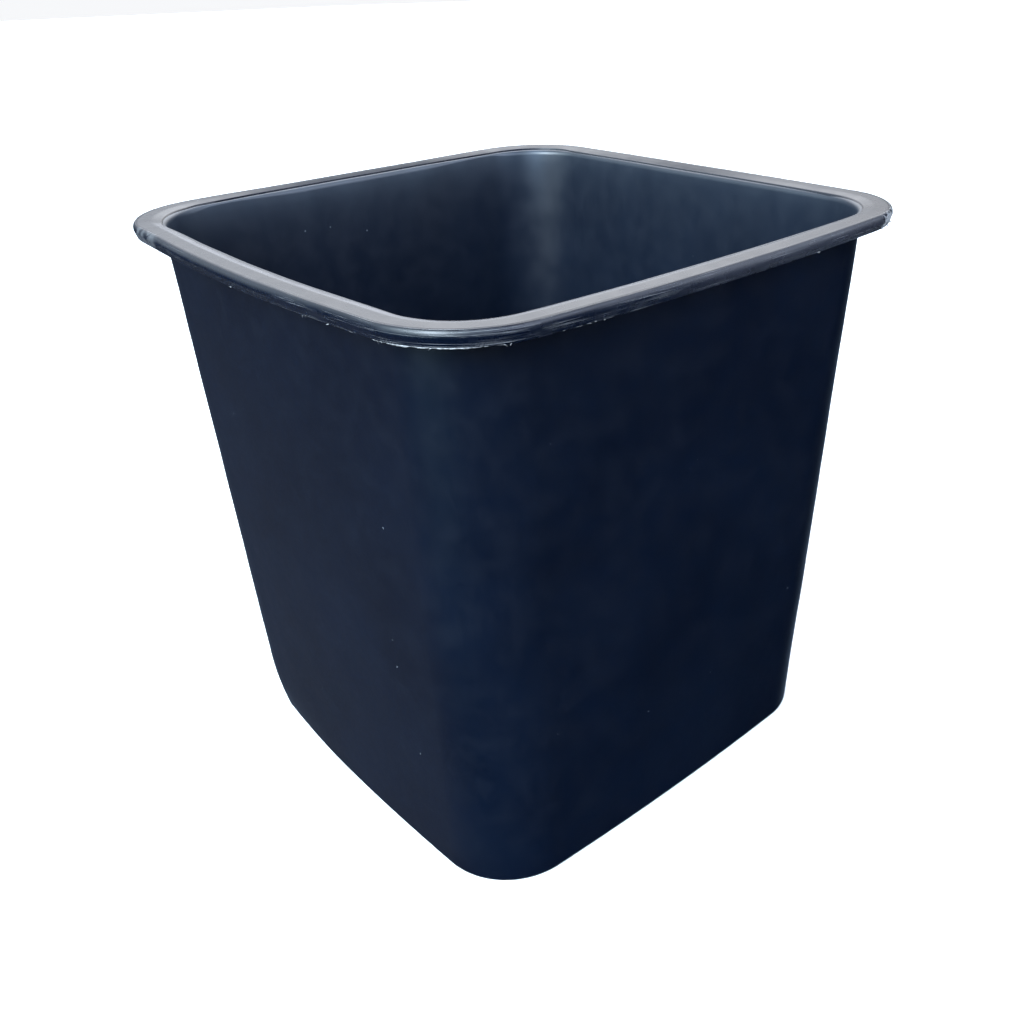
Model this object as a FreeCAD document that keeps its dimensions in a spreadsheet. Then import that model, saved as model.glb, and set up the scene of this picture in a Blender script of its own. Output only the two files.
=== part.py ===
"""Mortar mixing tub: one square, tapered plastic moulding with an overhanging rim.

The moulding is modelled as the four regions it is made of, which meet face to face:
  tub_floor   base panel with a raised centre, a foot band to stand on and the gate mark
  tub_wall    tapered wall, four slightly bowed sides with wide round corners
  rim_flange  flat rim with a shallow step inside the mouth and a thickened root below
  rim_lip     rounded outer edge of the rim, turned down as a grip

Frame: millimetres, +Z up, origin at the centre of the face the tub stands on.
Sides face +X, -X, +Y and -Y, and the corners lie on the diagonals.
"""

import FreeCAD, Part
import math
import os

import Sketcher

DIMENSIONS = {
    "height": 440.0,            # ground to the top of the rim
    "rim_half": 227.0,          # centre to the outside of the rim, at the middle of a side
    "rim_corner": 72.0,         # corner radius of the rim's outside
    "rim_turn": 3.7,            # degrees that a side of the rim turns from its middle to a corner
    "edge_round": 3.0,          # rounding of the rim's outer top edge
    "lip_seam": 4.5,            # rim outside to where the flat flange ends and the lip begins
    "lip_depth": 10.6,          # rim top to the lower edge of the lip
    "lip_thickness": 3.0,
    "lip_tuck": 1.6,            # how far the lip leans in at its lower edge
    "lip_round": 0.8,           # rounding of the lip's lower edges
    "flange_thickness": 4.0,
    "mouth_inset": 18.8,        # rim outside to the inner edge of the flat rim
    "step_drop": 2.2,           # rim top down to the step inside the mouth
    "root_width": 2.4,          # thickening where the flange leaves the wall
    "root_depth": 3.6,
    "wall_top_half": 207.0,     # outside of the wall, carried up to the rim top
    "wall_top_corner": 62.0,
    "wall_base_half": 183.0,    # outside of the wall, carried down to the ground
    "wall_base_corner": 58.5,
    "wall_turn": 2.5,           # degrees that a side of the wall turns from its middle to a corner
    "wall_thickness": 3.5,
    "cove_radius": 8.0,         # rounding between floor and wall, inside
    "seat_depth": 1.0,          # step round the floor that the foot of the wall sits in
    "floor_thickness": 4.0,
    "foot_rise": 1.5,           # height of the raised centre of the base over the foot band
    "foot_width": 28.0,         # wall outside to the inner edge of the foot band
    "foot_round": 3.5,          # rounding of the outer bottom edge
    "gate_radius": 9.0,         # round mark where the mould was filled
    "gate_rise": 0.9,
}

TOUCH = 0.01                    # points closer than this are the same point


class Size:
    """A length that carries its value and the spreadsheet formula that gives it."""

    def __init__(self, value, formula):
        self.value = float(value)
        self.formula = formula

    def __add__(self, other):
        return Size(self.value + other.value, f"({self.formula} + {other.formula})")

    def __sub__(self, other):
        return Size(self.value - other.value, f"({self.formula} - {other.formula})")

    def __mul__(self, other):
        return Size(self.value * other.value, f"({self.formula} * {other.formula})")

    def __truediv__(self, other):
        return Size(self.value / other.value, f"({self.formula} / {other.formula})")


ZERO = Size(0, "0")
ONE = Size(1, "1")


def make_sheet(doc):
    """Write the driving dimensions into a spreadsheet and return them as sizes."""
    sheet = doc.addObject("Spreadsheet::Sheet", "dims")
    sizes = {}
    for row, (alias, value) in enumerate(DIMENSIONS.items(), start=1):
        sheet.set(f"A{row}", alias)
        sheet.set(f"B{row}", str(value))
        sheet.setAlias(f"B{row}", alias)
        sizes[alias] = Size(value, f"dims.{alias}")
    doc.recompute()
    return sizes


class Outline:
    """A square outline with bowed sides: four long arcs joined by four tangent corner arcs.

    Each side turns by the same small angle to both ends, so that outlines at different
    levels match arc by arc, and an outline shrunk by an inset is a true parallel of it.
    """

    def __init__(self, turn, half, corner):
        self.turn = math.radians(turn.value)
        self.corner = corner
        cosine = Size(math.cos(self.turn), f"cos({turn.formula})")
        sine = Size(math.sin(self.turn), f"sin({turn.formula})")
        self.side = (half - corner * (cosine - sine)) / (ONE - cosine + sine)
        self.side_offset = self.side - half

    def arcs(self):
        """Return the eight arcs anticlockwise, starting with the side that faces +X."""
        corner_reach = (self.side.value - self.corner.value) * math.sin(self.turn)
        arcs = []
        for quarter in range(4):
            start = quarter * math.pi / 2
            facing = FreeCAD.Vector(math.cos(start), math.sin(start), 0)
            across = FreeCAD.Vector(-math.sin(start), math.cos(start), 0)
            side_centre = facing * -self.side_offset.value
            corner_centre = (facing + across) * corner_reach
            arcs.append(arc(side_centre, self.side.value, start - self.turn, start + self.turn))
            end = start + math.pi / 2
            arcs.append(arc(corner_centre, self.corner.value, start + self.turn, end - self.turn))
        return arcs


def arc(centre, radius, start, end):
    circle = Part.Circle(centre, FreeCAD.Vector(0, 0, 1), radius)
    return Part.ArcOfCircle(circle, start, end)


def wall_outline(sizes, level, inset):
    """Outline of the tapered wall at a level above the ground, shrunk by an inset."""
    share = level / sizes["height"]
    half_growth = sizes["wall_top_half"] - sizes["wall_base_half"]
    corner_growth = sizes["wall_top_corner"] - sizes["wall_base_corner"]
    half = sizes["wall_base_half"] + half_growth * share
    corner = sizes["wall_base_corner"] + corner_growth * share
    return Outline(sizes["wall_turn"], half - inset, corner - inset)


def rim_outline(sizes, inset):
    """Outline of the rim's outside, shrunk by an inset."""
    return Outline(sizes["rim_turn"], sizes["rim_half"] - inset, sizes["rim_corner"] - inset)


def make_body(doc, label, level):
    """Start a body that stands at a level above the ground."""
    body = doc.addObject("PartDesign::Body", label)
    body.Label = label
    body.Placement = FreeCAD.Placement(FreeCAD.Vector(0, 0, level.value), FreeCAD.Rotation())
    body.setExpression("Placement.Base.z", level.formula)
    return body


def start_sketch(body, name, level):
    """Start a horizontal sketch at a level above the body's own base."""
    sketch = body.newObject("Sketcher::SketchObject", name)
    for plane in body.Origin.OriginFeatures:
        if plane.Role == "XY_Plane":
            sketch.AttachmentSupport = (plane, [""])
    sketch.MapMode = "FlatFace"
    offset = FreeCAD.Vector(0, 0, level.value)
    sketch.AttachmentOffset = FreeCAD.Placement(offset, FreeCAD.Rotation())
    sketch.setExpression("AttachmentOffset.Base.z", level.formula)
    return sketch


def constrain(sketch, size, *constraint):
    """Add a dimension to a sketch and bind it to its formula."""
    index = sketch.addConstraint(Sketcher.Constraint(*constraint, size.value))
    sketch.setExpression(f"Constraints[{index}]", size.formula)


def sketch_outline(body, name, level, outline):
    """Draw a bowed square outline and fix it by its radii and the centres of its sides."""
    sketch = start_sketch(body, name, level)
    sketch.addGeometry(outline.arcs(), False)
    start, end, centre = 1, 2, 3
    x_axis, y_axis = -1, -2
    for index in range(8):
        sketch.addConstraint(Sketcher.Constraint("Tangent", index, end, (index + 1) % 8, start))
    for index in (2, 4, 6):
        sketch.addConstraint(Sketcher.Constraint("Equal", 0, index))
        sketch.addConstraint(Sketcher.Constraint("Equal", 1, index + 1))
    constrain(sketch, outline.side, "Radius", 0)
    constrain(sketch, outline.corner, "Radius", 1)
    for index in (0, 4):
        sketch.addConstraint(Sketcher.Constraint("PointOnObject", index, centre, x_axis))
    for index in (2, 6):
        sketch.addConstraint(Sketcher.Constraint("PointOnObject", index, centre, y_axis))
    constrain(sketch, outline.side_offset, "DistanceX", 0, centre, -1, 1)
    constrain(sketch, outline.side_offset, "DistanceY", 2, centre, -1, 1)
    constrain(sketch, outline.side_offset, "DistanceX", -1, 1, 4, centre)
    constrain(sketch, outline.side_offset, "DistanceY", -1, 1, 6, centre)
    return sketch


def sketch_circle(body, name, level, radius):
    sketch = start_sketch(body, name, level)
    circle = Part.Circle(FreeCAD.Vector(0, 0, 0), FreeCAD.Vector(0, 0, 1), radius.value)
    sketch.addGeometry(circle, False)
    sketch.addConstraint(Sketcher.Constraint("Coincident", 0, 3, -1, 1))
    constrain(sketch, radius, "Radius", 0)
    return sketch


def loft(body, kind, name, upper, lower):
    """Join two outlines by straight lines, from the upper one down to the lower one."""
    feature = body.newObject(f"PartDesign::{kind}Loft", name)
    feature.Profile = (upper, [""])
    feature.Sections = [(lower, [""])]
    feature.Ruled = True
    upper.Document.recompute()
    return feature


def pad(body, name, sketch, length, downwards=False):
    feature = body.newObject("PartDesign::Pad", name)
    feature.Profile = (sketch, [""])
    feature.Length = length.value
    feature.setExpression("Length", length.formula)
    feature.Reversed = downwards
    sketch.Document.recompute()
    return feature


def pocket(body, name, sketch, depth, upwards=False):
    """Cut a pocket, and check that it takes material away."""
    before = body.Shape.Volume
    feature = body.newObject("PartDesign::Pocket", name)
    feature.Profile = (sketch, [""])
    feature.Length = depth.value
    feature.setExpression("Length", depth.formula)
    feature.Reversed = upwards
    sketch.Document.recompute()
    if body.Shape.Volume >= before - 1.0:
        raise RuntimeError(f"{name} cuts nothing")
    return feature


def loop_edges(shape, level, outline):
    """Name the edges of the loop that follows an outline at a level of the body."""
    joints = [piece.StartPoint for piece in outline.arcs()]
    names = []
    for index, edge in enumerate(shape.Edges, start=1):
        if all(on_loop(vertex.Point, level.value, joints) for vertex in edge.Vertexes):
            names.append(f"Edge{index}")
    return names


def on_loop(point, level, joints):
    """Tell whether a point is one of the outline's joints, raised to the level."""
    raised = [FreeCAD.Vector(joint.x, joint.y, level) for joint in joints]
    return any(point.distanceToPoint(joint) < TOUCH for joint in raised)


def fillet(body, name, base, edges, radius):
    feature = body.newObject("PartDesign::Fillet", name)
    feature.Base = (base, edges)
    feature.Radius = radius.value
    feature.setExpression("Radius", radius.formula)
    base.Document.recompute()
    return feature


def make_floor(doc, sizes):
    """Base panel: the centre is raised so that the tub stands on a band round the edge."""
    body = make_body(doc, "tub_floor", ZERO)
    top = sizes["foot_rise"] + sizes["floor_thickness"]
    seat = top - sizes["seat_depth"]
    foot = wall_outline(sizes, ZERO, ZERO)
    lower = sketch_outline(body, "FloorFoot", ZERO, foot)
    upper = sketch_outline(body, "FloorSeat", seat, wall_outline(sizes, seat, ZERO))
    plate = loft(body, "Additive", "FloorPlate", upper, lower)
    fillet(body, "FootRound", plate, loop_edges(plate.Shape, ZERO, foot), sizes["foot_round"])
    raised = sketch_outline(body, "FloorInside", seat, floor_outline(sizes))
    pad(body, "FloorPanel", raised, sizes["seat_depth"])
    hollow = sketch_outline(body, "FloorHollow", ZERO, wall_outline(sizes, ZERO, sizes["foot_width"]))
    pocket(body, "BaseHollow", hollow, sizes["foot_rise"], upwards=True)
    gate = sketch_circle(body, "FloorGate", sizes["foot_rise"], sizes["gate_radius"])
    pad(body, "GateMark", gate, sizes["gate_rise"], downwards=True)
    return body


def floor_outline(sizes):
    """Outline where the flat floor inside ends and the rounding into the wall begins."""
    top = sizes["foot_rise"] + sizes["floor_thickness"]
    return wall_outline(sizes, top, sizes["wall_thickness"] + sizes["cove_radius"])


def make_wall(doc, sizes):
    """Tapered wall: a ring with a rounded foot that sits in the step round the floor."""
    base = sizes["foot_rise"] + sizes["floor_thickness"] - sizes["seat_depth"]
    body = make_body(doc, "tub_wall", base)
    thickness = sizes["wall_thickness"]
    rise = sizes["height"] - sizes["step_drop"] - base
    outer_foot = sketch_outline(body, "WallFoot", ZERO, wall_outline(sizes, base, ZERO))
    outer_top = sketch_outline(body, "WallTop", rise, wall_outline(sizes, base + rise, ZERO))
    loft(body, "Additive", "WallOutside", outer_top, outer_foot)
    seat = sizes["seat_depth"]
    inner = wall_outline(sizes, base + seat, thickness)
    inner_foot = sketch_outline(body, "CavityFoot", seat, inner)
    inner_top = sketch_outline(body, "CavityTop", rise, wall_outline(sizes, base + rise, thickness))
    cavity = loft(body, "Subtractive", "WallInside", inner_top, inner_foot)
    fillet(body, "Cove", cavity, loop_edges(cavity.Shape, seat, inner), sizes["cove_radius"])
    hole = sketch_outline(body, "FloorOpening", seat, floor_outline(sizes))
    pocket(body, "FloorHole", hole, seat)
    return body


def make_flange(doc, sizes):
    """Flat rim: a ring round the top of the wall, lower by a step next to the mouth."""
    base = sizes["height"] - sizes["flange_thickness"] - sizes["root_depth"]
    body = make_body(doc, "rim_flange", base)
    root_depth = sizes["root_depth"]
    thickness = sizes["flange_thickness"]
    top = root_depth + thickness
    root = wall_outline(sizes, base, ZERO - sizes["root_width"])
    root_sketch = sketch_outline(body, "RootOutside", ZERO, root)
    pad(body, "Root", root_sketch, top)
    outside = rim_outline(sizes, sizes["lip_seam"])
    plate_sketch = sketch_outline(body, "FlangeOutside", root_depth, outside)
    plate = pad(body, "Plate", plate_sketch, thickness)
    fillet(body, "RootRound", plate, loop_edges(plate.Shape, root_depth, root), sizes["root_width"])
    mouth = sketch_outline(body, "MouthEdge", top, rim_outline(sizes, sizes["mouth_inset"]))
    pocket(body, "Step", mouth, sizes["step_drop"])
    lower = sketch_outline(body, "WallFaceLow", ZERO, wall_outline(sizes, base, ZERO))
    upper = sketch_outline(body, "WallFaceHigh", top, wall_outline(sizes, base + top, ZERO))
    loft(body, "Subtractive", "WallSeat", upper, lower)
    return body


def make_lip(doc, sizes):
    """Outer edge of the rim: rounded over and turned down, leaning in a little below."""
    base = sizes["height"] - sizes["lip_depth"]
    body = make_body(doc, "rim_lip", base)
    shoulder = sizes["lip_depth"] - sizes["edge_round"] - sizes["lip_round"]
    top = sizes["lip_depth"]
    hem = rim_outline(sizes, sizes["lip_tuck"])
    widest = rim_outline(sizes, ZERO)
    lower = sketch_outline(body, "LipHem", ZERO, hem)
    upper = sketch_outline(body, "LipShoulder", shoulder, widest)
    loft(body, "Additive", "LipSide", upper, lower)
    crown_sketch = sketch_outline(body, "LipCrown", shoulder, widest)
    crown = pad(body, "Crown", crown_sketch, top - shoulder)
    fillet(body, "EdgeRound", crown, loop_edges(crown.Shape, top, widest), sizes["edge_round"])
    under = top - sizes["flange_thickness"]
    channel = rim_outline(sizes, sizes["lip_tuck"] + sizes["lip_thickness"])
    channel_sketch = sketch_outline(body, "ChannelWall", under, channel)
    hollow = pocket(body, "Channel", channel_sketch, under)
    hem_edges = loop_edges(hollow.Shape, ZERO, hem) + loop_edges(hollow.Shape, ZERO, channel)
    fillet(body, "HemRound", hollow, hem_edges, sizes["lip_round"])
    opening = sketch_outline(body, "FlangeSeat", top, rim_outline(sizes, sizes["lip_seam"]))
    pocket(body, "Opening", opening, top)
    return body


def check_document(doc, bodies):
    """Stop if any object failed to compute or a sub-part is not one valid solid."""
    doc.recompute()
    for item in doc.Objects:
        if "Invalid" in item.State or "Error" in item.State:
            raise RuntimeError(f"{item.Name} failed: {item.State}")
    for body in bodies:
        if body.Shape.isNull() or not body.Shape.isValid():
            raise RuntimeError(f"{body.Label} has no valid shape")
        if len(body.Shape.Solids) != 1:
            raise RuntimeError(f"{body.Label} is not one solid")


def main():
    doc = FreeCAD.newDocument("mortar_tub")
    sizes = make_sheet(doc)
    makers = (make_floor, make_wall, make_flange, make_lip)
    bodies = [maker(doc, sizes) for maker in makers]
    check_document(doc, bodies)
    os.makedirs("parts", exist_ok=True)
    for body in bodies:
        body.Shape.exportStep(f"parts/{body.Label}.step")
        box = body.Shape.BoundBox
        print(f"{body.Label}: {body.Shape.Volume:.0f} mm3, z {box.ZMin:.2f} to {box.ZMax:.2f}")


main()
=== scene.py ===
"""Looks of the mortar mixing tub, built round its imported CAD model.

The tub is one moulding of blue-black polyethylene. Two closed skins share its surface: tub_shell is the floor, both
faces of the wall and the ledge inside the brim, and tub_rim is the turned-down rim that starts at the ledge's riser.
lip_flash is the pale plastic that trimming left along the lip's hem. Lengths are in millimetres until a mesh is made.
"""

import math

import bpy
import numpy as np
from mathutils import Matrix, Vector


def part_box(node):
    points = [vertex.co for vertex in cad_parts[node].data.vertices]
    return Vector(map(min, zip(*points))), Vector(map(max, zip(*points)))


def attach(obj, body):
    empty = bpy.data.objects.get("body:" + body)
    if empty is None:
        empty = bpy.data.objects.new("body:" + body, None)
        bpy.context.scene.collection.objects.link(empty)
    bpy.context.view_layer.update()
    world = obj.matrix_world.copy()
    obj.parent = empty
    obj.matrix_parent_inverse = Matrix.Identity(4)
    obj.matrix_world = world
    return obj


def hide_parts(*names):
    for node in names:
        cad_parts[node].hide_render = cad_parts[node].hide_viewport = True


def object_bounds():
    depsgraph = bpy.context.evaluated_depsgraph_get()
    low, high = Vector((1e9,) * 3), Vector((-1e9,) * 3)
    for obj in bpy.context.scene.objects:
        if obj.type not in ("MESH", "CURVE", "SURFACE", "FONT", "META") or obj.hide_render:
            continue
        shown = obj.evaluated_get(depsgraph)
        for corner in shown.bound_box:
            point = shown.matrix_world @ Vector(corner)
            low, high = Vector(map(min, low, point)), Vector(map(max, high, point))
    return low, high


MM = 0.001

# Outline family, as in the CAD: each side turns by plus and minus a small angle, and an arc joins two sides.
RIM_TURN = math.radians(3.7)
RIM_CORNER = 72.0
WALL_TURN = math.radians(2.5)
WALL_CORNER_BASE = 58.5
WALL_CORNER_SLOPE = 3.5 / 440.0
WALL_THICKNESS = 3.5
COVE_RADIUS = 8.0
FOOT_ROUND = 3.5
FOOT_BAND = 155.0
FOOT_RISE = 1.5
GATE_RADIUS = 9.0
GATE_DROP = 0.9
GATE_BEVEL = 0.8

# The soft step from the foot band up to the base panel: how far inside the band, and the level.
FOOT_STEP = ((0.5, 0.15), (1.1, FOOT_RISE - 0.15), (1.7, FOOT_RISE))

# Rim section, as distances inside the rim's widest line.
RISER = 18.8
RISER_ROUND = 0.5
CHAMFER = 4.2
CHAMFER_DROP = 0.85
LIP_TUCK = 1.6
LIP_THICKNESS = 3.0
LIP_ROUND = 0.8
CHANNEL_DROP = 4.0

# Where two skins meet out of sight: how far the ledge runs on under the riser and the levels it turns down at, how
# deep the riser's foot sinks into the ledge (more where it splays), and how deep the root sinks into the wall.
LEDGE_TUCK = 0.5
LEDGE_TURN = (1.2, 1.8)
RISER_SINK = 0.3
SPLAY_SINK = 0.45
ROOT_TUCK = 0.5

# Soft edges of the rim. The chamfer ends in a small drop and a reach either side of its edge. The flat top stops short
# of the seam, and a groove of (distance from the seam, share of its depth) follows. The shoulder starts a share of
# that depth down. The channel has rounded corners of (distance below its roof, distance from its side), and its roof
# is flat between two distances from its sides.
CHAMFER_SOFT = (0.12, 0.5, 0.6)
FLAT_END = 0.55
GROOVE = ((0.30, 0.8), (0.15, 1.0))
GROOVE_BROW = 0.3
CHANNEL_OUTER = ((0.8, 0.0), (0.2, 0.3), (0.0, 0.9))
CHANNEL_INNER = ((0.2, 2.2), (0.8, 1.2), (1.9, 0.3))
CHANNEL_ROOF = (3.0, 3.6)

# Section of the trimmed edge, as (height above the hem, distance inside the lip's tuck): it wraps the hem's outer edge
# and hangs a little below it. Where none of it shows, it lies inside the hem instead: height, distance, and how much
# deeper each of its rings lies than the one before.
HEM_STRIP = ((0.52, 0.40), (0.46, -0.22), (0.12, -0.28), (-0.30, -0.10), (-0.48, 0.22), (-0.20, 0.62), (0.30, 0.80))
HIDDEN_STRIP = (0.65, 0.9, 0.02)

# How the trimmed edge varies: the seed of its raggedness, the wavelength and seed of its patches, how much of its
# strength is steady, patchy and ragged, and how far the raggedness moves its lower rings, with the limits of that.
FLASH_SEED = 11
FLASH_PATCHES = (26.0, 21)
FLASH_STEADY = 0.76
FLASH_PATCHY = 0.26
FLASH_RAGGED = 0.20
FLASH_HANG = 0.55
FLASH_HANG_LIMITS = (-0.3, 0.5)
LOWER_RINGS = slice(3, 5)

SIDE_STEPS = 44
CORNER_STEPS = 40
FLASH_SIDE_STEPS = 330
FLASH_CORNER_STEPS = 120
SHARP_ANGLE = math.radians(50)

# How far the middle of each side of the brim dips, in the order +X, +Y, -X, -Y.
SIDE_DIPS = np.array((0.7, 1.2, 0.3, 1.9))
DIP_START = 360.0
DIP_FULL = 432.0

# A ripple is a sum of plane waves: how many, the spread of their lengths, and what brings the sum to about 1.
RIPPLE_WAVES = 9
RIPPLE_SPREAD = (0.7, 1.6)
RIPPLE_PEAK = 4.0

# Wandering of the walls: (size, wavelength, seed) of each ripple, a steady inward shift, and the heights between which
# it sets in. The brim's level wavers too.
WANDER = ((0.30, 150.0, 3), (0.14, 55.0, 4))
WANDER_SHIFT = 0.45
WANDER_LEVELS = (8.0, 60.0)
BRIM_SINK = 0.12
BRIM_WAVER = (0.07, 70.0, 5)

# Where one foot corner is pushed in: place round the ring and half width (both in quarter turns), depth and height.
# The push grows between two distances from the tub's middle.
CRUSHED = (2.66, 0.18, 5.8, 52.0)
CRUSHED_RADII = (90.0, 200.0)

# Where one upright corner leans out: place and half width, how far at the brim, and the height where it starts.
SPREAD = (0.44, 0.24, 1.5, 20.0)


def ring_gap(q, place):
    """Signed distance from place to q, in quarter turns the shorter way round."""
    return (q - place + 2) % 4 - 2


class Brim:
    """The brim's form over part of the ring.

    splay tips the riser inwards, rounding softens the ledge's edge, fall lowers the flat top towards its outer edge,
    and the shoulder is an ellipse of seam by drop that starts behind a groove.
    """

    def __init__(self, splay, rounding, seam, drop, groove, centres=(), full=0.0, reach=0.0, fall=0.0):
        self.splay, self.rounding, self.fall = splay, rounding, fall
        self.seam, self.drop, self.groove = seam, drop, groove
        self.centres, self.full, self.reach = centres, full, reach

    def weight(self, q):
        """1 within full of a centre and 0 beyond reach, in quarter turns."""
        away = np.min([np.abs(ring_gap(q, centre)) for centre in self.centres], axis=0)
        return 1 - smooth_step(away, self.full, self.reach)


PLAIN = Brim(0.0, 1.3, 2.4, 4.5, 0.20)
VARIANTS = (
    Brim(2.4, 4.2, 2.4, 4.5, 0.20, (0.95,), 0.35, 0.52),
    Brim(0.3, 4.2, 2.4, 4.5, 0.20, (1.5, 3.5), 0.14, 0.28),
    Brim(4.0, 4.6, 2.4, 4.5, 0.20, (0.5, 2.5), 0.14, 0.30),
    Brim(0.0, 1.3, 5.0, 5.2, 0.0, (2.94,), 0.10, 0.24),
    Brim(0.0, 1.3, 3.4, 6.4, 0.0, (0.12,), 0.12, 0.28),
    Brim(0.3, 4.2, 2.4, 4.5, 0.20, (2.0,), 0.10, 0.24, 0.9),
)


# Strength of the pale trimmed edge along the hem, of along-rim scuffs and of torn patches, at places round the ring.
FLASH = (
    (0.08, 0.05), (0.12, 0.30), (0.18, 0.25), (0.24, 0.05), (0.42, 0.35), (0.55, 0.60), (0.62, 0.30), (0.90, 0.15),
    (1.30, 0.35), (1.50, 0.60), (1.68, 0.30), (2.05, 0.15), (2.38, 0.40), (2.55, 0.50), (2.68, 0.25), (2.78, 0.15),
    (2.84, 0.05), (2.96, 0.22), (3.00, 0.32), (3.10, 0.38), (3.20, 0.50), (3.27, 0.60), (3.33, 0.80), (3.50, 0.90),
    (3.60, 0.78), (3.66, 0.45), (3.74, 0.42), (3.80, 0.62), (3.83, 0.55), (3.88, 0.25), (3.95, 0.12)
)
SCUFFS = (
    (0.02, 0.30), (0.20, 0.35), (0.50, 0.55), (0.90, 0.20), (1.50, 0.60), (2.00, 0.15), (2.50, 0.60), (2.75, 0.25),
    (3.05, 0.25), (3.17, 0.60), (3.24, 0.85), (3.35, 1.00), (3.65, 1.00), (3.74, 0.75), (3.85, 0.50), (3.95, 0.30)
)
TEARS = (
    (0.26, 0.0), (0.31, 0.9), (0.40, 0.8), (0.45, 0.0), (2.68, 0.0), (2.74, 0.52), (2.80, 0.50), (2.83, 0.0)
)

# Strength of the painted highlight along the rim's inner edge, of the dull film on the lip's face, and of the matt,
# dirtied part of the flat top.
EDGE_HIGHLIGHT = (
    (0.05, 0.45), (0.20, 0.30), (0.40, 0.0), (2.68, 0.0), (2.78, 0.85), (2.95, 0.90), (3.15, 0.90), (3.35, 0.85),
    (3.55, 0.60), (3.70, 0.60), (3.90, 0.70)
)
LIP_FILM = (
    (0.00, 0.06), (0.25, 0.06), (0.45, 0.03), (0.60, 0.0), (3.70, 0.0), (3.90, 0.01), (3.97, 0.05)
)
MATT_TOP = (
    (0.62, 0.0), (0.85, 0.25), (1.00, 0.75), (1.10, 0.60), (1.25, 0.30), (1.50, 0.35), (1.75, 0.35), (1.92, 1.0),
    (2.08, 1.0), (2.22, 0.30), (2.34, 0.0)
)

# Colours, as linear red, green and blue with an alpha of 1.
DEEP_BLUE = (0.0002, 0.0020, 0.0076, 1.0)
CLOUD_BLUE = (0.0006, 0.0030, 0.0100, 1.0)
MOTTLE_BLUE = (0.0016, 0.0044, 0.0125, 1.0)
DUST_AND_LIGHT_BLUE = (0.085, 0.108, 0.140, 1.0)
SPECK_GREY = (0.16, 0.18, 0.21, 1.0)
SCRATCH_GREY = (0.20, 0.205, 0.215, 1.0)
FILM_AND_HIGHLIGHT_GREY = (0.21, 0.20, 0.21, 1.0)
CUT_DARK = (0.08, 0.082, 0.088, 1.0)
CUT_PALE = (0.26, 0.265, 0.275, 1.0)
FLOOR_WHITE = (0.93, 0.93, 0.93, 1.0)
SKY_WHITE = (0.93, 0.94, 0.96, 1.0)

# Gloss of the body and of the rim, as the roughness of their shiniest and dullest parts, and what wear and dirt add.
BODY_ROUGHNESS = (0.28, 0.37)
RIM_ROUGHNESS = (0.22, 0.31)
WORN_ROUGHNESS = 0.20
MATT_ROUGHNESS = 0.46
CUT_ROUGHNESS = 0.55
PLASTIC_IOR = 1.51

# The stage, in metres and degrees.
FLOOR_REACH = 60.0
DOME_RADIUS = 14.0
DOME_SIDES = 24
DOME_ELEVATIONS = (-2.0, 20.0, 45.0, 70.0, 88.0)

# The camera: azimuth, elevation and roll in degrees, the point it aims at and its distance in metres, its focal
# length in millimetres and its shift.
CAMERA_ANGLES = (49.144, 24.215, -1.829)
CAMERA_TARGET = Vector((0.01439, 0.03581, 0.24788))
CAMERA_DISTANCE = 0.90688
CAMERA_LENS = 38.10
CAMERA_SHIFT = (-0.0485, -0.0784)

# Broad glows that light the tub: azimuth, elevation, reach (degrees) and radiance.
GLOWS = (
    (0, 34, 42, (3.4, 4.2, 4.7)),
    (15, 33, 24, (14.0, 16.5, 19.0)),
    (45, 34, 38, (2.2, 2.7, 3.2)),
    (100, 34, 32, (2.2, 2.5, 3.2)),
    (135, 35, 40, (1.8, 2.0, 2.4)),
    (229, -8, 24, (0.45, 0.45, 0.45)),
    (228, 46, 46, (3.50, 3.60, 3.78)),
    (270, 35, 45, (0.50, 0.56, 0.64)),
    (315, 35, 45, (0.9, 1.1, 1.2)),
    (0, 5, 45, (0.2, 0.4, 0.45)),
    (225, -35, 45, (0.22, 0.32, 0.48)),
    (270, -35, 45, (0.05, 0.06, 0.08)),
    (315, -35, 45, (0.06, 0.06, 0.06)),
)

# Dust and painted light inside the tub, as a paler colour. Near the brim it is mostly painted light, brighter where
# more light reaches in, and lower down it is dust: strength, what the far right wall adds to it, and how deep it
# reaches. Then the middle of that wall with, as negative distances from it, where its share sets in and is full. Last
# a painted
# highlight streak down the back corner: its place, half width, strength and depth.
NEAR_DUST_AND_LIGHT = (0.34, -0.25, 15.0)
DEEP_DUST = (0.04, 0.03, 220.0)
RIGHT_WALL_LIFT = (1.0, -0.75, -0.35)
CORNER_HIGHLIGHT_STREAK = (1.49, 0.055, 0.34, 20.0)

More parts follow.
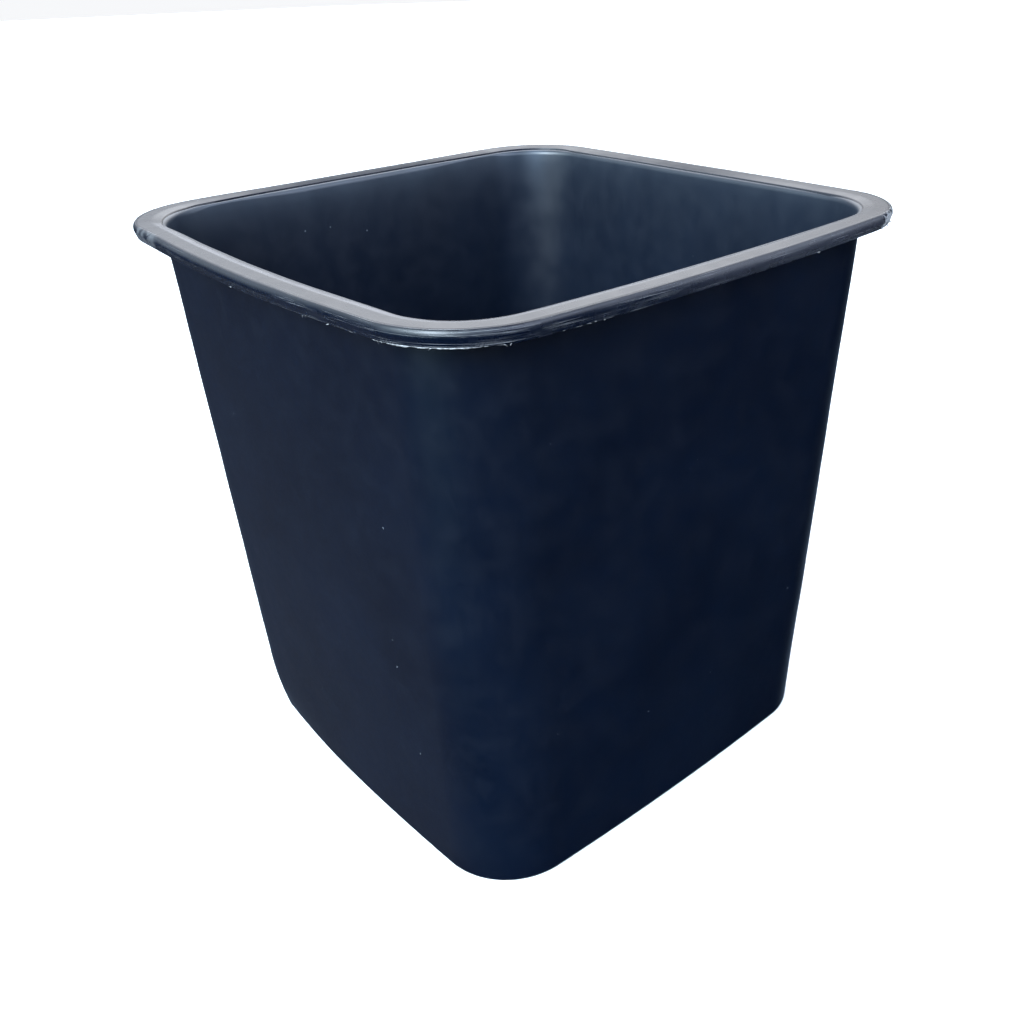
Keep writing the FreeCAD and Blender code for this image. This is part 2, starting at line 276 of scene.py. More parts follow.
# Curls of torn flash: place round the ring, length, how far it stands out, how far it hangs, and half the width of a
# wide one. Before them come the usual half width, half the thickness, how much a curl wavers, and its steps along and
# sides round.
CURL_WIDTH = 0.34
CURL_DEPTH = 0.12
CURL_WAVER = 0.07
CURL_GRID = (6, 4)
CURL_FIRST_SEED = 100
CURLS = (
    (2.79, 3.0, 0.7, -0.6), (2.81, 2.4, 0.9, 0.4), (3.002, 2.2, 0.8, -0.4), (3.142, 2.0, 1.0, 0.9),
    (3.147, 1.6, 0.9, -0.5), (3.186, 2.4, 0.8, 0.5), (3.283, 1.8, 1.0, 1.2), (3.300, 1.6, 0.9, -0.6),
    (3.452, 1.5, 0.8, 0.8), (3.553, 1.4, 0.9, -0.5), (3.640, 2.2, 0.9, 0.9), (3.662, 1.7, 1.0, 1.1),
    (3.806, 3.2, 0.7, -0.5), (3.812, 2.6, 1.1, -0.9), (3.822, 2.4, 1.0, 0.5), (4.135, 2.6, 0.6, -0.4),
    (0.30, 7.0, 1.2, -1.8, 1.7), (0.35, 6.0, 1.8, -1.0, 1.5), (0.40, 5.0, 1.6, -2.4, 1.2),
    (1.460, 2.2, 0.9, 0.6), (1.545, 2.6, 1.0, -0.5), (2.640, 2.4, 1.0, -0.8), (2.742, 2.8, 1.1, 0.6),
)


def around(table, q):
    """The table's value at each place q, joined up round the ring."""
    places, values = zip(*table)
    return np.interp(np.mod(q, 4), places, values, period=4)


class Stations:
    """The points of a ring: q counts quarter turns from the middle of the +X side, with corners at the halves."""

    def __init__(self, side_steps, corner_steps):
        side = np.arange(side_steps) / side_steps
        corner = np.arange(corner_steps) / corner_steps
        one = np.concatenate((side, corner))
        self.on_corner = np.tile(np.concatenate((side < 0, corner >= 0)), 4)
        self.part = np.tile(one, 4)
        self.quarter = np.repeat(np.arange(4), len(one))
        self.q = self.quarter - 0.25 + 0.5 * self.part + 0.5 * self.on_corner
        dip = SIDE_DIPS[self.quarter] * np.where(self.on_corner, 0.0, 1 - (2 * self.part - 1) ** 2)
        blur = max(3, side_steps // 5)
        padded = np.concatenate((dip[-blur:], dip, dip[:blur]))
        self.dip = np.convolve(padded, np.full(2 * blur + 1, 1 / (2 * blur + 1)), "valid")

    def rings(self, rows):
        """Points and outward directions of every ring in rows of (half, corner, turn, level)."""
        half, corner, turn, level = (column[:, None] for column in np.array(rows, float).T)
        side_radius = (half - corner * (np.cos(turn) - np.sin(turn))) / (1 - np.cos(turn) + np.sin(turn))
        centre = np.where(self.on_corner, (side_radius - corner) * np.sin(turn), half - side_radius)
        radius = np.where(self.on_corner, corner, side_radius)
        swing = np.where(self.on_corner, turn + (math.pi / 2 - 2 * turn) * self.part, turn * (2 * self.part - 1))
        along = centre + radius * np.cos(swing)
        across = np.where(self.on_corner, centre, 0.0) + radius * np.sin(swing)
        face = self.quarter * math.pi / 2
        cos, sin = np.cos(face), np.sin(face)
        x = along * cos - across * sin
        y = along * sin + across * cos
        points = np.stack((x, y, np.broadcast_to(level, x.shape)), axis=2)
        outward = np.stack((np.cos(swing + face), np.sin(swing + face), np.zeros_like(x)), axis=2)
        return points, outward


def ripple(points, wavelength, seed):
    """Smooth noise between about -1 and 1: a sum of plane waves in fixed random directions."""
    rng = np.random.default_rng(seed)
    total = np.zeros(points.shape[:-1])
    for _ in range(RIPPLE_WAVES):
        direction = rng.normal(size=3)
        direction /= np.linalg.norm(direction)
        wave = direction * 2 * math.pi / (wavelength * rng.uniform(*RIPPLE_SPREAD))
        total += np.sin(points @ wave + rng.uniform(0, 2 * math.pi))
    return total / RIPPLE_PEAK


def smooth_step(value, low, high):
    t = np.clip((value - low) / (high - low), 0, 1)
    return t * t * (3 - 2 * t)


def bell(q, place, width):
    """1 at a place round the ring, falling away on both sides."""
    return np.exp(-((ring_gap(q, place) / width) ** 2))


def formed(stations, section):
    """Points and outward directions of the rings that section(brim_form) lists, blended round the ring."""
    rows = section(PLAIN)
    points, outward = stations.rings(rows)
    for brim_form in VARIANTS:
        share = brim_form.weight(stations.q)[None, :, None]
        points = points * (1 - share) + stations.rings(section(brim_form))[0] * share
    return settle(stations, points, outward), rows


def settle(stations, points, outward):
    """The moulding as it really hangs: it wanders and dips, one foot corner is pushed in, and one corner leans out."""
    level = points[..., 2]
    radius = np.linalg.norm(points[..., :2], axis=-1)
    wander = sum(size * ripple(points, wavelength, seed) for size, wavelength, seed in WANDER) - WANDER_SHIFT
    shift = wander * smooth_step(level, *WANDER_LEVELS)
    place, width, depth, height = CRUSHED
    low = np.clip(1 - level / height, 0, 1) ** 2
    shift -= depth * bell(stations.q, place, width) * low * smooth_step(radius, *CRUSHED_RADII)
    place, width, depth, height = SPREAD
    shift += depth * bell(stations.q, place, width) * np.clip((level - height) / (TOP - height), 0, 1)
    moved = points + outward * shift[..., None]
    size, wavelength, seed = BRIM_WAVER
    waver = np.clip(size * ripple(points, wavelength, seed), -BRIM_SINK, BRIM_SINK)
    moved[..., 2] -= (stations.dip + BRIM_SINK + waver) * smooth_step(level, DIP_START, DIP_FULL)
    return moved


def wall(level, inset):
    """A ring of the wall's outline at that level, inset parallel to its outer face."""
    half = WALL_BASE_HALF + WALL_SLOPE * level - inset
    return half, WALL_CORNER_BASE + WALL_CORNER_SLOPE * level - inset, WALL_TURN, level


def rim(level, inset):
    return RIM_HALF - inset, RIM_CORNER - inset, RIM_TURN, level


def blend_rows(first, last, steps):
    """Rings evenly spaced from first to last, both included."""
    return [tuple(row) for row in np.linspace(first, last, steps)]


def tangent_arc(radius, centre_level, inset, steps):
    """Quarter arc between the wall's slope and a level surface below it: (level, distance from the outer face)."""
    lean = math.atan(WALL_SLOPE)
    centre_inset = inset + radius / math.cos(lean)
    for angle in np.linspace(-lean, -math.pi / 2, steps):
        level = centre_level + radius * math.sin(angle)
        out = WALL_SLOPE * (level - centre_level)
        yield level, centre_inset + out - radius * math.cos(angle)


def shell_section(brim_form):
    """The shell's rings, from the middle of the floor inside, over the ledge and down to the middle underneath."""
    cove = [wall(*row) for row in tangent_arc(COVE_RADIUS, FLOOR_TOP + COVE_RADIUS, WALL_THICKNESS, 8)][::-1]
    start = cove[0]
    rows = [(start[0] * f, start[1] * f, WALL_TURN, FLOOR_TOP) for f in np.linspace(0.04, 1.0, 20)[:-1]]
    rows += cove
    low = cove[-1][3]
    soft = brim_form.rounding
    rows += [wall(level, WALL_THICKNESS) for level in np.linspace(low, LEDGE - soft, 58)[1:]]
    for angle in np.linspace(0, math.pi / 2, 9)[1:]:
        inset = WALL_THICKNESS - min(soft, 3.0) * (1 - math.cos(angle))
        rows.append(wall(LEDGE - soft + soft * math.sin(angle), inset))
    rows += blend_rows(rows[-1], rim(LEDGE, RISER - LEDGE_TUCK), 6)[1:]
    rows.append(rim(LEDGE - LEDGE_TURN[0], RISER - LEDGE_TUCK))
    rows.append(wall(LEDGE - LEDGE_TURN[1], 0.0))
    rows += [wall(level, 0.0) for level in np.linspace(ROOT_LEVEL, FOOT_ROUND + 1.0, 64)]
    rows += [wall(*row) for row in tangent_arc(FOOT_ROUND, FOOT_ROUND, 0.0, 8)]
    band = rows[-1]
    inset = band[0] - FOOT_BAND
    inner = (FOOT_BAND, band[1] - inset, WALL_TURN, 0.0)
    rows += blend_rows(band, inner, 5)[1:]
    rows += [(FOOT_BAND - step, inner[1] - step, WALL_TURN, level) for step, level in FOOT_STEP]
    gate_edge = (GATE_RADIUS + GATE_BEVEL, GATE_RADIUS + GATE_BEVEL, WALL_TURN, FOOT_RISE)
    rows += blend_rows(rows[-1], gate_edge, 14)[1:]
    rows += [(radius, radius, WALL_TURN, FOOT_RISE - GATE_DROP) for radius in (GATE_RADIUS, GATE_RADIUS / 2)]
    return rows


def rim_section(brim_form):
    """The rim's rings: riser, flat top, seam, shoulder, lip, hem, and back under the flange to the wall."""
    rows = [rim(LEDGE - RISER_SINK - SPLAY_SINK * brim_form.splay, RISER + brim_form.splay)]
    for angle in np.linspace(0, math.pi / 2, 6):
        level = TOP - CHAMFER_DROP - RISER_ROUND * (1 - math.sin(angle))
        splay = brim_form.splay * (TOP - level) / (TOP - LEDGE)
        rows.append(rim(level, RISER + splay - RISER_ROUND * (1 - math.cos(angle))))
    drop, before, after = CHAMFER_SOFT
    rows += blend_rows(rows[-1], rim(TOP - drop, RISER - CHAMFER + before), 4)[1:]
    seam, groove = brim_form.seam, brim_form.groove
    brow = TOP - brim_form.fall
    rows += blend_rows(rim(TOP, RISER - CHAMFER - after), rim(brow, seam + FLAT_END), 9)
    rows += [rim(brow - share * groove, seam + reach) for reach, share in GROOVE]
    for angle in np.linspace(0, math.pi / 2, 13):
        level = brow - GROOVE_BROW * groove - brim_form.drop * (1 - math.cos(angle))
        rows.append(rim(level, seam * (1 - math.sin(angle))))
    lip_top = rows[-1]
    hem_out = rim(HEM + LIP_ROUND, LIP_TUCK)
    rows += blend_rows(lip_top, hem_out, 7)[1:]
    for angle in np.linspace(0, math.pi / 2, 5)[1:]:
        rows.append(rim(HEM + LIP_ROUND * (1 - math.sin(angle)), LIP_TUCK + LIP_ROUND * (1 - math.cos(angle))))
    back = LIP_TUCK + LIP_THICKNESS
    rows += [rim(HEM, back - LIP_ROUND), rim(HEM + LIP_ROUND * 0.3, back - LIP_ROUND * 0.3)]
    rows.append(rim(HEM + LIP_ROUND, back))
    channel = TOP - CHANNEL_DROP
    rows += [rim(channel - drop, back + step) for drop, step in CHANNEL_OUTER]
    rows += blend_rows(rim(channel, back + CHANNEL_ROOF[0]), rim(channel, RISER - CHANNEL_ROOF[1]), 4)
    rows += [rim(channel - drop, RISER - step) for drop, step in CHANNEL_INNER]
    rows += [wall(ROOT_LEVEL, 0.0), wall(ROOT_LEVEL + 0.3, ROOT_TUCK), wall(LEDGE - 0.8, ROOT_TUCK)]
    return rows


def new_piece(name, vertices, faces, smooth=False):
    """A new object in the scene, with its mesh. Vertices are in metres."""
    mesh = bpy.data.meshes.new(name)
    mesh.from_pydata(vertices, [], faces)
    if smooth:
        mesh.polygons.foreach_set("use_smooth", [True] * len(mesh.polygons))
    piece = bpy.data.objects.new(name, mesh)
    bpy.context.scene.collection.objects.link(piece)
    return piece


def metres(points):
    return [tuple(c * MM for c in point) for point in points]


def grid_faces(count, size, last, flip=False):
    """Quads between rings of size points each: the first last of them, with the ring after count being the first.

    flip turns each quad over, but keeps the point it starts from.
    """
    faces = []
    for i in range(last):
        below = (i + 1) % count
        for j in range(size):
            k = (j + 1) % size
            face = (i * size + j, below * size + j, below * size + k, i * size + k)
            faces.append(face[:1] + face[:0:-1] if flip else face)
    return faces


def skin(name, section, stations, closed):
    """A watertight mesh over the rings: closed joins the last ring to the first, else both ends get a middle point."""
    points, rows = formed(stations, section)
    count, size = points.shape[:2]
    vertices = list(map(tuple, (points * MM).reshape(-1, 3)))
    girth = points[count // 2]
    ring_u = np.append(0.0, np.cumsum(np.linalg.norm(np.roll(girth, -1, axis=0) - girth, axis=1))) * MM
    profile = np.array(rows)[:, (0, 3)]
    profile_v = np.append(0.0, np.cumsum(np.linalg.norm(np.diff(profile, axis=0), axis=1))) * MM
    last = count if closed else count - 1
    faces = grid_faces(count, size, last)
    corner_uv = []
    for i in range(last):
        v0 = profile_v[i]
        v1 = profile_v[i + 1] if i + 1 < count else v0 + MM
        for u0, u1 in zip(ring_u, ring_u[1:]):
            corner_uv += [(u0, v0), (u0, v1), (u1, v1), (u1, v0)]
    if not closed:
        for ring, flip in ((0, False), (count - 1, True)):
            middle = len(vertices)
            vertices.append((0.0, 0.0, rows[ring][3] * MM))
            for j in range(size):
                pair = (ring * size + j, ring * size + (j + 1) % size)
                faces.append((middle,) + (pair[::-1] if flip else pair))
                corner_uv += [(ring_u[j], profile_v[ring])] * 3
    piece = new_piece(name, vertices, faces, smooth=True)
    layer = piece.data.uv_layers.new(name="UVMap")
    layer.data.foreach_set("uv", np.array(corner_uv, np.float32).ravel())
    piece.data.set_sharp_from_angle(angle=SHARP_ANGLE)
    return piece, rows


def paint(piece, name, strength, middles=0):
    """Stores strength, one number for each ring and station, on the piece's vertices, with 0 at its middle points."""
    layer = piece.data.attributes.new(name, "FLOAT", "POINT")
    layer.data.foreach_set("value", np.append(strength.ravel(), np.zeros(middles)).astype(np.float32))


def rim_places(rows):
    """Each ring's distance inside the rim's widest line, its level, and whether it is on the flat top."""
    half, level = np.array(rows)[:, 0], np.array(rows)[:, 3]
    return RIM_HALF - half, level, level > TOP - CHAMFER_DROP - 0.1


def face_share(rows):
    """1 on the shoulder and lip, falling to 0 over the flat top and behind the hem: where the rim gets rubbed."""
    inset, level, _ = rim_places(rows)
    return smooth_step(PLAIN.seam + 1.2 - inset, 0.0, 1.6) * (level > HEM + 0.2)


def pale_film_and_highlight(rows, q):
    """The painted highlight along the inner edge and the dull film on the lip, for each ring and station."""
    inset, _, on_top = rim_places(rows)
    # Painted highlight along the inner edge of the flat top.
    line = smooth_step(inset, RISER - 5.9, RISER - 3.8) * on_top
    return line[:, None] * around(EDGE_HIGHLIGHT, q)[None, :] + face_share(rows)[:, None] * around(LIP_FILM, q)[None, :]


def matt_part(rows, q):
    """How matt the flat top has become, for each ring and station: the inner part of it, on the far sides."""
    inset, _, on_top = rim_places(rows)
    share = smooth_step(inset, 3.5, 6.5) * on_top
    return share[:, None] * around(MATT_TOP, q)[None, :]


def dust_and_painted_light(rows, q):
    """Dust and painted light on the inside: paler towards the mouth, where it paints the light that reaches in, and on
    the far right wall, with a painted highlight streak down one corner.
    """
    level = np.array(rows)[:, 3]
    inside = np.arange(len(rows)) <= int(np.argmax(level))
    depth = (TOP - level)[:, None]
    middle, low, high = RIGHT_WALL_LIFT
    right = smooth_step(-np.abs(ring_gap(q, middle)), low, high)[None, :]
    total = 0.0
    # Paler colour that falls off with depth: dust, and painted light near the mouth.
    for all_round, gain, reach in (NEAR_DUST_AND_LIGHT, DEEP_DUST):
        total = total + (all_round + gain * right) * np.exp(-depth / reach)
    # Painted highlight: a pale streak down the inner back corner, fading with depth.
    place, width, strength, reach = CORNER_HIGHLIGHT_STREAK
    total = total + strength * bell(q, place, width)[None, :] * np.exp(-depth / reach)
    return total * inside[:, None]


def curl(stations, seed, q, length, out, hang, width=CURL_WIDTH):
    """A thin tapering sliver that leaves the hem along the ring, bends outwards and ends in a point."""
    rng = np.random.default_rng(seed)
    index = int(np.argmin(np.abs(ring_gap(stations.q, q))))
    points, outward = stations.rings([rim(HEM + 0.3, LIP_TUCK - 0.15)])
    root = settle(stations, points, outward)[0]
    start = root[index]
    along = root[(index + 1) % len(root)] - start
    along /= np.linalg.norm(along) * rng.choice((-1.0, 1.0))
    side = outward[0, index]
    down = np.array((0.0, 0.0, -1.0))
    steps, sides = CURL_GRID
    vertices = []
    for i, t in enumerate(np.linspace(0, 1, steps)):
        middle = start + along * length * (t - 0.25 * t * t)
        middle = middle + side * out * t**1.4 + down * hang * (t**2 + 0.25 * t)
        middle = middle + rng.normal(size=3) * CURL_WAVER * (0 < i < steps - 1)
        reach = width * (1 - t) ** 0.7 + 0.03
        depth = CURL_DEPTH * (1 - t) + 0.02
        for turn in np.arange(sides) * math.pi / 2 + 0.6 * t:
            vertices.append(middle + (down * math.cos(turn) * reach + side * math.sin(turn) * depth))
    first, end = range(sides), range(sides * (steps - 1), sides * steps)
    faces = [tuple(reversed(first)), tuple(end)]
    faces += grid_faces(steps, sides, steps - 1, flip=True)
    return vertices, faces


def trimmed_edge():
    """The pale ragged edge all round the hem, with its curls, as one piece."""
    stations = Stations(FLASH_SIDE_STEPS, FLASH_CORNER_STEPS)
    shown, outward = stations.rings([rim(HEM + height, LIP_TUCK + inset) for height, inset in HEM_STRIP])
    height, inset, step = HIDDEN_STRIP
    hidden, _ = stations.rings([rim(HEM + height, LIP_TUCK + inset + step * i) for i in range(len(HEM_STRIP))])
    rng = np.random.default_rng(FLASH_SEED)
    jitter = rng.normal(size=(2, len(stations.q)))
    joined = np.concatenate((jitter[:, -2:], jitter, jitter[:, :2]), axis=1)
    ragged = np.array([np.convolve(row, np.full(5, 0.2), "valid") for row in joined])
    patch = 0.5 + 0.5 * ripple(shown[0], *FLASH_PATCHES)
    strength = around(FLASH, stations.q) * (FLASH_STEADY + FLASH_PATCHY * patch)
    share = np.clip(strength + FLASH_RAGGED * ragged[0], 0.0, 1.0)
    points = hidden + (shown - hidden) * share[None, :, None]
    points[LOWER_RINGS, :, 2] -= np.clip(FLASH_HANG * ragged[1] * share, *FLASH_HANG_LIMITS)
    points = settle(stations, points, outward)
    count, size = points.shape[:2]
    vertices = list(points.reshape(-1, 3))
    faces = grid_faces(count, size, count)
    for number, shape in enumerate(CURLS):
        sliver, sliver_faces = curl(stations, CURL_FIRST_SEED + number, *shape)
        offset = len(vertices)
        vertices += sliver
        faces += [tuple(offset + v for v in face) for face in sliver_faces]
    return new_piece("lip_flash", metres(vertices), faces, smooth=True)


class Graph:
    """A node tree written as calls that take numbers or other nodes' outputs."""

    def __init__(self, tree):
        self.tree = tree
        tree.nodes.clear()

    def node(self, kind, inputs=(), **settings):
        made = self.tree.nodes.new("ShaderNode" + kind)
        for key, value in settings.items():
            setattr(made, key, value)
        for key, value in dict(inputs).items():
            if isinstance(value, bpy.types.NodeSocket):
                self.tree.links.new(value, made.inputs[key])
            else:
                made.inputs[key].default_value = value
        return made

    def math(self, operation, first, second=0.0):
        return self.node("Math", {0: first, 1: second}, operation=operation, use_clamp=False).outputs[0]

    def fit(self, value, low, high, new_low=0.0, new_high=1.0):
        """Smoothly maps low..high to new_low..new_high, and holds the ends."""
        sockets = ("Value", "From Min", "From Max", "To Min", "To Max")
        inputs = zip(sockets, (value, low, high, new_low, new_high))
        return self.node("MapRange", inputs, interpolation_type="SMOOTHSTEP").outputs["Result"]

    def stretch(self, vector, scale):
        return self.node("Mapping", {"Vector": vector, "Scale": scale}).outputs[0]

    def noise(self, vector, scale, detail=2.0, roughness=0.5, distortion=0.0):
        sockets = ("Vector", "Scale", "Detail", "Roughness", "Distortion")
        return self.node("TexNoise", zip(sockets, (vector, scale, detail, roughness, distortion))).outputs["Fac"]

    def mix(self, factor, first, second):
        inputs = {"Factor": factor, "A": first, "B": second}
        made = self.node("Mix", (), data_type="RGBA")
        for socket in made.inputs:
            kind = "VALUE" if socket.name == "Factor" else "RGBA"
            if socket.name in inputs and socket.type == kind:
                value = inputs[socket.name]
                if isinstance(value, bpy.types.NodeSocket):
                    self.tree.links.new(value, socket)
                else:
                    socket.default_value = value
        return made.outputs[2]


def new_material(name):
    """A new material and the graph of its node tree."""
    material = bpy.data.materials.new(name)
    material.use_nodes = True
    return material, Graph(material.node_tree)


def plastic(name, rubbed):
    """Satin polyethylene: cloudy colour, uneven gloss, fine grain, upright draw marks and pale specks of dust.

    Rubbed plastic has scratches along the rim, torn patches, a dull film on the lip and a painted highlight along the
    inner edge, and the rest has dust and painted light inside the tub.
    """
    material, graph = new_material(name)
    place = graph.node("TexCoord").outputs["Object"]
    along = graph.node("UVMap", uv_map="UVMap").outputs["UV"]
    cloud = graph.noise(place, 9.0, 3.0, 0.55)
    mottle = graph.noise(place, 55.0, 3.0, 0.6)
    grain = graph.noise(place, 1500.0, 2.0, 0.6)
    pebble = graph.noise(place, 240.0, 3.0, 0.5)
    drawn = graph.noise(graph.stretch(place, (60.0, 60.0, 2.2)), 1.0, 3.0, 0.6)
    depth = graph.fit(cloud, 0.3, 0.7)
    base = graph.mix(depth, DEEP_BLUE, CLOUD_BLUE)
    base = graph.mix(graph.fit(mottle, 0.45, 0.75, 0.0, 0.30), base, MOTTLE_BLUE)
    dust = graph.node("TexVoronoi", {"Vector": place, "Scale": 85.0}, feature="F1").outputs
    chance = graph.node("SeparateColor", {"Color": dust["Color"]}).outputs[0]
    reach = graph.fit(chance, 0.80, 1.0, 0.0, 0.075)
    speck = graph.fit(graph.math("SUBTRACT", reach, dust["Distance"]), 0.0, 0.03, 0.0, 0.6)
    base = graph.mix(speck, base, SPECK_GREY)
    roughness = graph.fit(mottle, 0.25, 0.75, *BODY_ROUGHNESS)
    height = graph.math("ADD", graph.math("MULTIPLY", grain, 0.25), graph.math("MULTIPLY", pebble, 0.6))
    height = graph.math("ADD", height, graph.math("MULTIPLY", drawn, 0.9))
    if rubbed:
        scratch = graph.noise(graph.stretch(along, (18.0, 2600.0, 1.0)), 1.0, 3.0, 0.65)
        rub = graph.noise(graph.stretch(along, (9.0, 260.0, 1.0)), 1.0, 2.0, 0.5)
        wear = graph.node("Attribute", attribute_name="wear").outputs["Fac"]
        mask = graph.math("MULTIPLY", graph.fit(scratch, 0.55, 0.66), graph.fit(rub, 0.38, 0.58))
        torn = graph.node("Attribute", attribute_name="torn").outputs["Fac"]
        blotch = graph.noise(place, 130.0, 4.0, 0.65, 0.6)
        tear = graph.math("MULTIPLY", graph.fit(blotch, 0.44, 0.54), graph.fit(torn, 0.35, 0.8))
        worn = graph.math("MAXIMUM", graph.math("MULTIPLY", mask, wear), tear)
        base = graph.mix(worn, base, SCRATCH_GREY)
        # Pale colour: a dull film on the lip, and a painted highlight along the rim's inner edge.
        film_and_highlight = graph.node("Attribute", attribute_name="film_and_highlight").outputs["Fac"]
        patchy_film_and_highlight = graph.math("MULTIPLY", film_and_highlight, graph.fit(rub, 0.2, 0.6, 0.8, 1.0))
        base = graph.mix(patchy_film_and_highlight, base, FILM_AND_HIGHLIGHT_GREY)
        height = graph.math("ADD", height, graph.math("MULTIPLY", worn, 1.2))
        matt = graph.node("Attribute", attribute_name="matt").outputs["Fac"]
        from_wear = graph.math("MULTIPLY", worn, WORN_ROUGHNESS)
        dulled = graph.math("ADD", from_wear, graph.math("MULTIPLY", matt, MATT_ROUGHNESS))
        roughness = graph.math("ADD", graph.fit(mottle, 0.25, 0.75, *RIM_ROUGHNESS), dulled)
    else:
        dust_and_light = graph.node("Attribute", attribute_name="dust_and_painted_light").outputs["Fac"]
        smudges = graph.noise(graph.stretch(place, (30.0, 30.0, 14.0)), 1.0, 4.0, 0.6)
        smear = graph.fit(smudges, 0.25, 0.75, 0.82, 1.15)
        # Paler dust colour, partly painted light: brighter towards the mouth, with a painted highlight down one
        # corner.
        base = graph.mix(graph.math("MULTIPLY", dust_and_light, smear), base, DUST_AND_LIGHT_BLUE)
    bump = graph.node("Bump", {"Strength": 0.35, "Distance": 0.00018, "Height": height})
    surface = {"Base Color": base, "Roughness": roughness, "Normal": bump.outputs[0], "IOR": PLASTIC_IOR}
    shader = graph.node("BsdfPrincipled", surface)
    graph.node("OutputMaterial", {"Surface": shader.outputs[0]})
    return material


def whitened(name):
    """Plastic gone pale where it was cut and torn."""
    material, graph = new_material(name)
    place = graph.node("TexCoord").outputs["Object"]
    patch = graph.noise(place, 420.0, 3.0, 0.6)
    base = graph.mix(graph.fit(patch, 0.35, 0.65), CUT_DARK, CUT_PALE)
    bump = graph.node("Bump", {"Strength": 0.5, "Distance": 0.0002, "Height": patch})
    surface = {"Base Color": base, "Roughness": CUT_ROUGHNESS, "Normal": bump.outputs[0], "IOR": PLASTIC_IOR}
    shader = graph.node("BsdfPrincipled", surface)
    graph.node("OutputMaterial", {"Surface": shader.outputs[0]})
    return material


def pale_floor():
    material, graph = new_material("pale_floor")
    shader = graph.node("BsdfPrincipled", {"Base Color": FLOOR_WHITE, "Roughness": 0.9})
    graph.node("OutputMaterial", {"Surface": shader.outputs[0]})
    corners = [(x * FLOOR_REACH, y * FLOOR_REACH, 0) for x, y in ((-1, -1), (1, -1), (1, 1), (-1, 1))]
    floor = new_piece("floor", corners, [(0, 1, 2, 3)])
    floor.data.materials.append(material)
    floor.visible_glossy = False


def pale_backdrop():
    """A pale dome that only the camera sees, so every view has the same plain background."""
    material, graph = new_material("pale_backdrop")
    glow = graph.node("Emission", {"Color": SKY_WHITE, "Strength": 1.0})
    graph.node("OutputMaterial", {"Surface": glow.outputs[0]})
    turns = np.arange(DOME_SIDES) * 2 * math.pi / DOME_SIDES
    rings = [(DOME_RADIUS * math.cos(el), DOME_RADIUS * math.sin(el)) for el in np.radians(DOME_ELEVATIONS)]
    vertices = [(radius * math.cos(a), radius * math.sin(a), level) for radius, level in rings for a in turns]
    faces = grid_faces(len(rings), DOME_SIDES, len(rings) - 1, flip=True)
    faces.append(tuple(range(DOME_SIDES * (len(rings) - 1), DOME_SIDES * len(rings))))
    backdrop = new_piece("backdrop", vertices, faces)
    backdrop.data.materials.append(material)
    backdrop.visible_diffuse = False
    backdrop.visible_glossy = False
    backdrop.visible_transmission = False
    backdrop.visible_shadow = False


def direction(azimuth, elevation):
    """Unit vector from the object towards that azimuth, counted from -Y towards +X, and elevation, in degrees."""
    az, el = math.radians(azimuth), math.radians(elevation)
    return Vector((math.sin(az) * math.cos(el), -math.cos(az) * math.cos(el), math.sin(el)))


def surroundings():
    """A studio of broad soft glows. Below the horizon only reflections see them, because the floor hides the rest."""
    world = bpy.data.worlds.new("studio")
    bpy.context.scene.world = world
    world.use_nodes = True
    graph = Graph(world.node_tree)
    towards = graph.node("TexCoord").outputs["Generated"]
    total = None
    for azimuth, elevation, reach, tint in GLOWS:
        aim = tuple(direction(azimuth, elevation))
        turned = graph.node("VectorMath", {0: towards, 1: aim}, operation="DOT_PRODUCT")
        share = graph.fit(turned.outputs["Value"], math.cos(math.radians(reach)), 1.0)
        lit = graph.node("VectorMath", {0: tint, "Scale": share}, operation="SCALE").outputs["Vector"]
        if total:
            lit = graph.node("VectorMath", {0: total, 1: lit}, operation="ADD").outputs["Vector"]
        total = lit
    glow = graph.node("Background", {"Color": total, "Strength": 1.0})
    graph.node("OutputWorld", {"Surface": glow.outputs[0]})


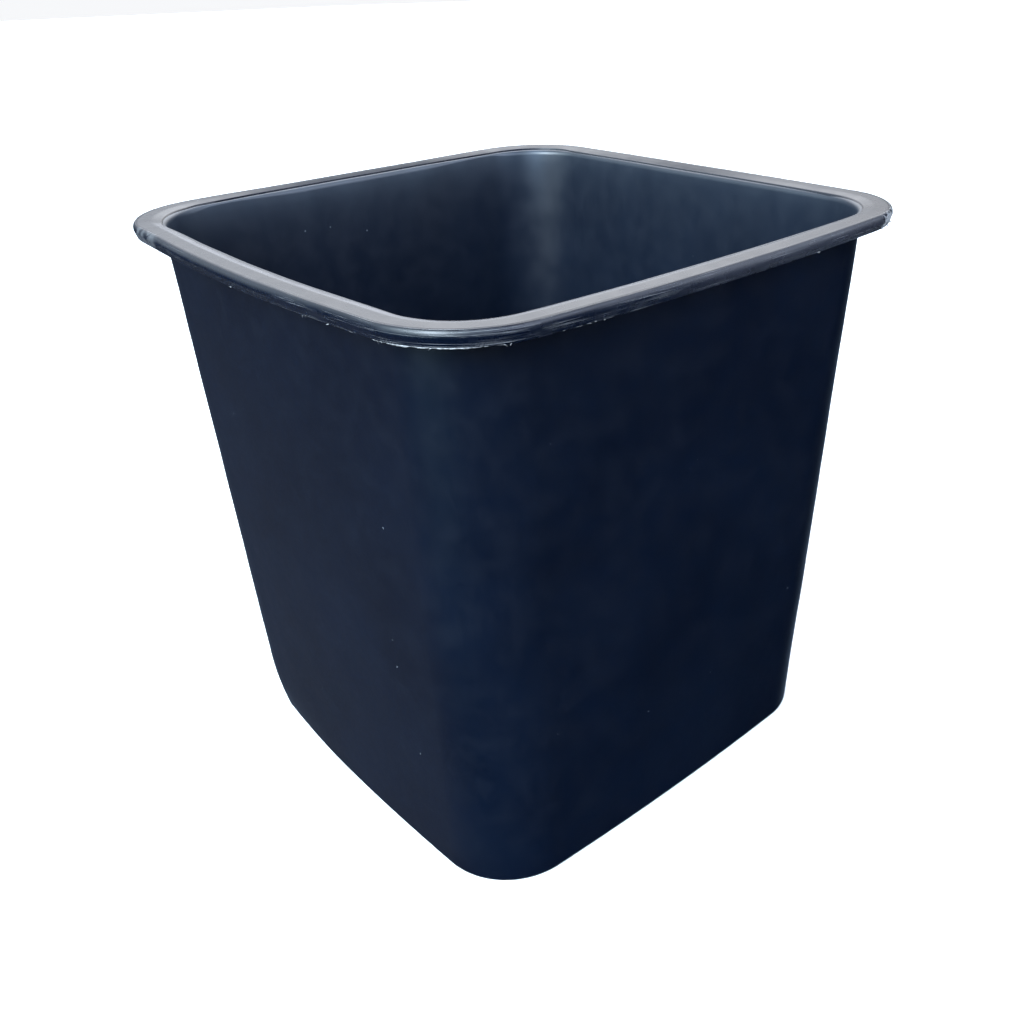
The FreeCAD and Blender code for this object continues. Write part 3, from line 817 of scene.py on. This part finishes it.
def camera():
    view = bpy.data.cameras.new("camera")
    view.lens = CAMERA_LENS
    view.shift_x, view.shift_y = CAMERA_SHIFT
    azimuth, elevation, tilt = CAMERA_ANGLES
    back = direction(azimuth, elevation)
    right = Vector((0, 0, 1)).cross(back).normalized()
    up = back.cross(right)
    roll = math.radians(tilt)
    tilted_right = right * math.cos(roll) + up * math.sin(roll)
    tilted_up = up * math.cos(roll) - right * math.sin(roll)
    place = CAMERA_TARGET + back * CAMERA_DISTANCE
    eye = bpy.data.objects.new("camera", view)
    eye.matrix_world = Matrix.Translation(place) @ Matrix((tilted_right, tilted_up, back)).transposed().to_4x4()
    bpy.context.scene.collection.objects.link(eye)
    bpy.context.scene.camera = eye


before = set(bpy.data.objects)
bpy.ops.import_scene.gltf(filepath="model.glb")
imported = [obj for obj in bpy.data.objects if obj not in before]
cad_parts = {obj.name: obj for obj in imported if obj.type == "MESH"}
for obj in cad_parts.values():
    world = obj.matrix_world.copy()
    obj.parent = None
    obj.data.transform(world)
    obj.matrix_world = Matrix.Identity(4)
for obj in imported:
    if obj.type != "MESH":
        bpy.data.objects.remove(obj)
cad_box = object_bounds()

TOP = cad_box[1].z / MM
RIM_HALF = cad_box[1].x / MM - 0.03
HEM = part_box("rim_lip")[0].z / MM
ROOT_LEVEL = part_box("rim_flange")[0].z / MM
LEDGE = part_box("tub_wall")[1].z / MM
FLOOR_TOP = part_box("tub_floor")[1].z / MM
WALL_SLOPE = (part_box("tub_wall")[1].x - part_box("tub_floor")[1].x) / MM / (LEDGE - FLOOR_TOP)
WALL_BASE_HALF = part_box("tub_wall")[1].x / MM - WALL_SLOPE * LEDGE

stations = Stations(SIDE_STEPS, CORNER_STEPS)
shell, shell_rows = skin("tub_shell", shell_section, stations, closed=False)
paint(shell, "dust_and_painted_light", dust_and_painted_light(shell_rows, stations.q), middles=2)
shell.data.materials.append(plastic("tub_body_plastic", rubbed=False))
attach(shell, "root")
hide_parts("tub_floor", "tub_wall")

brim, brim_rows = skin("tub_rim", rim_section, stations, closed=True)
paint(brim, "wear", face_share(brim_rows)[:, None] * around(SCUFFS, stations.q)[None, :])
paint(brim, "torn", face_share(brim_rows)[:, None] * around(TEARS, stations.q)[None, :])
paint(brim, "film_and_highlight", pale_film_and_highlight(brim_rows, stations.q))
paint(brim, "matt", matt_part(brim_rows, stations.q))
brim.data.materials.append(plastic("tub_rim_plastic", rubbed=True))
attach(brim, "root")
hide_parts("rim_flange", "rim_lip")

flash = trimmed_edge()
flash.data.materials.append(whitened("torn_edge"))
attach(flash, "root")

pale_floor()
pale_backdrop()
surroundings()
camera()
bpy.context.scene.view_settings.view_transform = "Standard"
